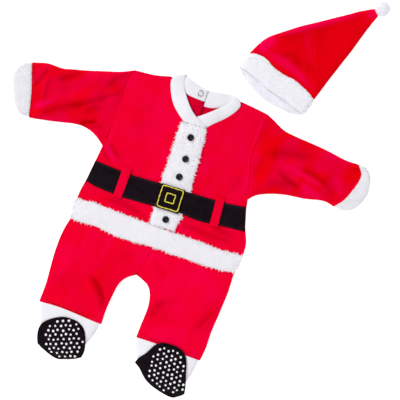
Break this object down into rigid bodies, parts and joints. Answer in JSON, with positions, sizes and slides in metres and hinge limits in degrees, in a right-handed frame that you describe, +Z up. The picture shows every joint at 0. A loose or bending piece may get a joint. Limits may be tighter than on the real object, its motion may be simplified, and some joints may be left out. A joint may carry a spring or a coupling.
{
  "type": "santa suit with hat",
  "caption": "Baby's footed santa suit laid flat with its hat: red velour romper, white plush trims, black belt with buckle patch, dotted soles and a hat with brim and pompom.",
  "frame": {"origin": "on the surface that the suit lies on, below the middle of the buckle", "axes": "+X to the viewer's right across the suit, +Y from the feet to the neck, +Z up off the surface"},
  "size_m": [0.5946, 0.7031, 0.0247],
  "materials": {
    "velour": "red cotton velour with a soft short pile",
    "plush": "white plush with a deep, slightly clumped pile",
    "fleece": "white fleece with a short matt pile",
    "black_cloth": "black woven cotton, matt",
    "sole_cloth": "black cloth with raised white grip dots",
    "patch_cloth": "black twill patch with yellow embroidered lines",
    "snap_plastic": "black moulded snap caps with a soft sheen",
    "snap_steel": "plated ring of a prong snap"
  },
  "bodies": {
    "root": {"front_body": "velour", "back_left": "velour", "back_right": "velour", "trouser_front_left": "velour", "trouser_front_right": "velour", "trouser_back_left": "velour", "trouser_back_right": "velour", "sleeve_left": "velour", "sleeve_right": "velour", "hat_crown": "velour", "cuff_left": "plush", "cuff_right": "plush", "placket_trim": "plush", "hem_trim": "plush", "hat_brim": "plush", "hat_pompom": "plush", "neckband_left": "fleece", "neckband_right": "fleece", "ankle_left": "fleece", "ankle_right": "fleece", "belt": "black_cloth", "belt_loop_left": "velour", "belt_loop_right": "velour", "shoe_upper_left": "black_cloth", "shoe_upper_right": "black_cloth", "sole_left": "sole_cloth", "sole_right": "sole_cloth", "buckle_patch": "patch_cloth", "snap_1": "snap_plastic", "snap_2": "snap_plastic", "snap_3": "snap_plastic", "snap_4": "snap_plastic", "neck_snap_ring": "snap_steel"}
  },
  "joints": []
}
